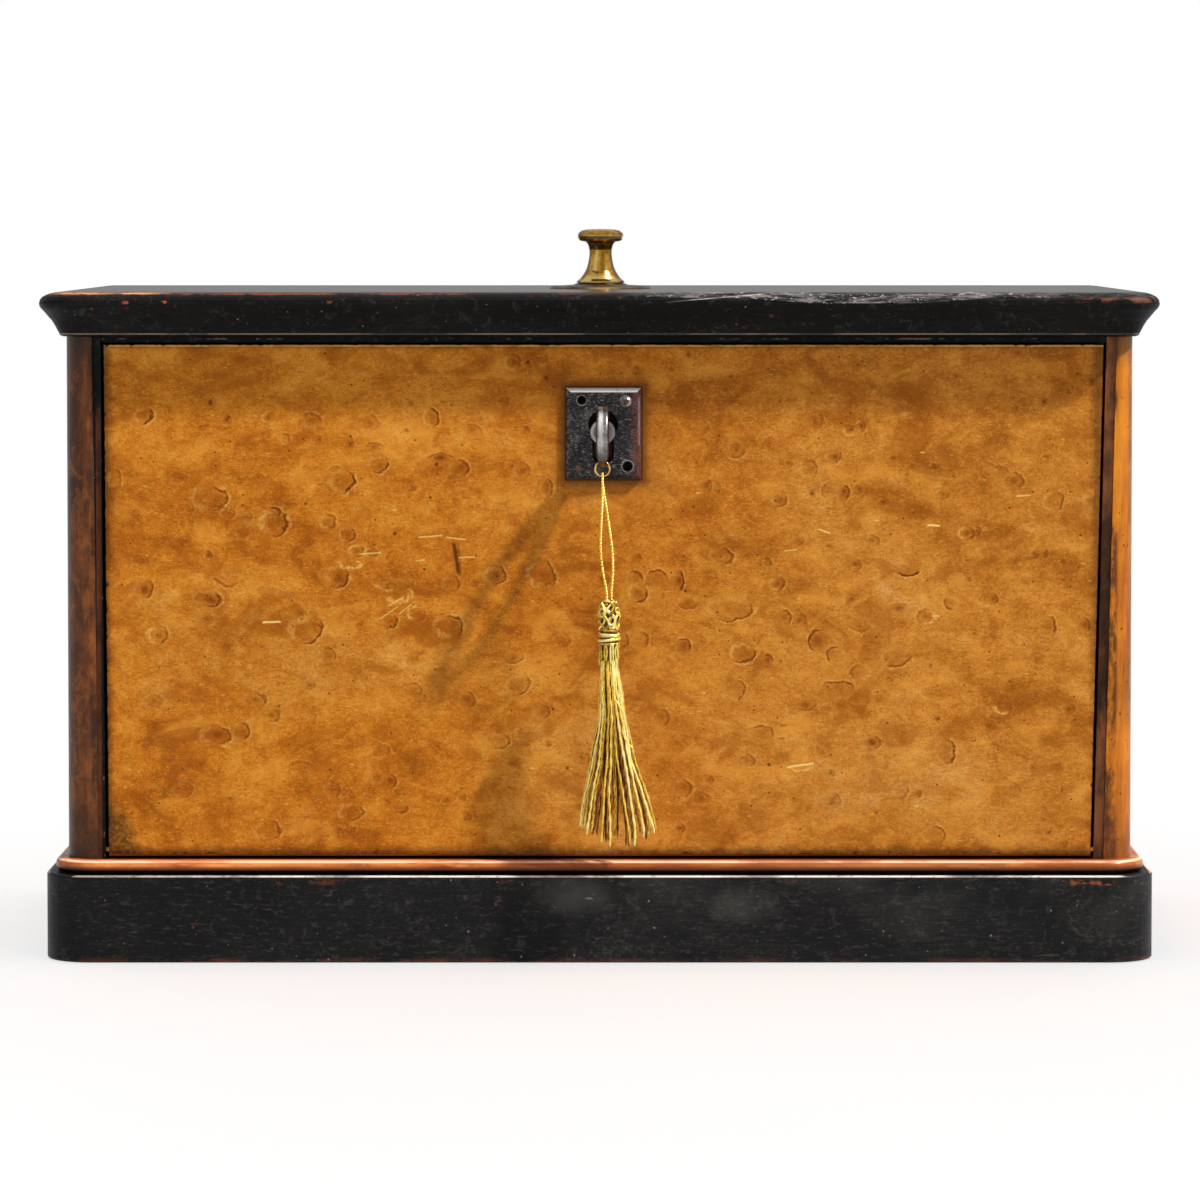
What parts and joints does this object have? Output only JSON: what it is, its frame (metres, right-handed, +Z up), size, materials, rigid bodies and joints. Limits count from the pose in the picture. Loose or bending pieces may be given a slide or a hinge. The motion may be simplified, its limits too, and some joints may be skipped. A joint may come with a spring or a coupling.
{
  "type": "correspondence box",
  "caption": "Upright wooden box for letters with a hinged moulded lid, a fall front with lock, key and tassel, a moulded plinth and a stepped letter rack inside.",
  "frame": {"origin": "centre of the plinth's footprint, on the underside that the box rests on", "axes": "+X along the width to the right, +Y from the fall front to the back, +Z up"},
  "size_m": [0.4038, 0.2197, 0.2639],
  "materials": {
    "ebonised": "satin",
    "bead_wood": "satin",
    "stile_wood": "satin",
    "carcass_wood": "satin",
    "burr_veneer": "satin",
    "rack_wood": "satin",
    "brass": "aged",
    "brass_dark": "aged",
    "iron": "satin",
    "steel": "satin",
    "gold_ring": "polished",
    "gold_thread": "metallic thread",
    "lining_paper": "matte",
    "baize": "matte"
  },
  "bodies": {
    "carcass": {"plinth_front": "ebonised", "plinth_left": "ebonised", "plinth_right": "ebonised", "plinth_back": "ebonised", "base_baize": "baize", "base_board": "carcass_wood", "glue_blocks": "carcass_wood", "bead_front": "bead_wood", "bead_left": "bead_wood", "bead_right": "bead_wood", "bottom_board": "carcass_wood", "side_board_left": "stile_wood", "side_board_right": "stile_wood", "back_board": "carcass_wood", "edge_slip_left": "ebonised", "edge_slip_right": "ebonised", "fall_pivot_pins": "brass", "rack_cheek_left": "rack_wood", "rack_cheek_right": "rack_wood", "partition_front": "rack_wood", "partition_middle": "rack_wood", "partition_rear": "rack_wood", "lid_hinge_leaf_fixed_left": "brass_dark", "lid_hinge_leaf_fixed_right": "brass_dark", "lid_hinge_pins": "steel", "lid_hinge_screws_fixed": "steel"},
    "lid": {"lid_board": "ebonised", "cornice_front": "ebonised", "cornice_left": "ebonised", "cornice_right": "ebonised", "lid_lip_left": "ebonised", "lid_lip_right": "ebonised", "lid_lining": "lining_paper", "keep_plate": "iron", "keep_plate_screws": "steel", "knob": "brass", "knob_backplate": "brass_dark", "knob_stud": "steel", "knob_washer": "steel", "knob_nut": "steel", "lid_hinge_leaf_moving_left": "brass_dark", "lid_hinge_leaf_moving_right": "brass_dark", "lid_hinge_screws_moving": "steel"},
    "fall": {"fall_board": "carcass_wood", "fall_veneer": "burr_veneer", "fall_lining": "lining_paper", "escutcheon_plate": "iron", "escutcheon_pin_round": "steel", "escutcheon_pin_flush": "iron", "lock_plate": "brass", "lock_cap": "brass", "lock_screws": "steel", "lock_spring": "steel", "fall_pivot_sockets": "brass"},
    "bolt": {"lock_bolt": "steel"},
    "key": {"key": "steel"},
    "ring": {"key_ring": "gold_ring"},
    "tassel": {"tassel_cord": "gold_thread", "tassel_head": "gold_thread", "tassel_skirt": "gold_thread"}
  },
  "joints": [
    {"name": "lid_hinge", "type": "hinge", "parent": "carcass", "child": "lid", "pos_m": [0, 0.0992, 0.2253], "axis": [-1, 0, 0], "range_deg": [0, 100]},
    {"name": "fall_hinge", "type": "hinge", "parent": "carcass", "child": "fall", "pos_m": [0, -0.086, 0.0396], "axis": [1, 0, 0], "range_deg": [0, 90]},
    {"name": "key_turn", "type": "hinge", "parent": "fall", "child": "key", "pos_m": [0.0012, -0.09, 0.191], "axis": [0, -1, 0], "range_deg": [0, 90]},
    {"name": "bolt_throw", "type": "slide", "parent": "fall", "child": "bolt", "axis": [0, 0, 1], "range_m": [0, 0.0032]},
    {"name": "ring_swing", "type": "hinge", "parent": "key", "child": "ring", "pos_m": [0.0012, -0.106, 0.17845], "axis": [0, -1, 0], "range_deg": [-90, 0]},
    {"name": "tassel_sway", "type": "hinge", "parent": "ring", "child": "tassel", "pos_m": [0.0012, -0.106, 0.17845], "axis": [0, -1, 0], "range_deg": [0, 60]}
  ],
  "couplings": [
    {"joint": "bolt_throw", "follows": "key_turn", "m_per_rad": 0.001973},
    {"joint": "ring_swing", "follows": "key_turn", "ratio": -1},
    {"joint": "tassel_sway", "follows": "fall_hinge", "ratio": 0.66666}
  ]
}
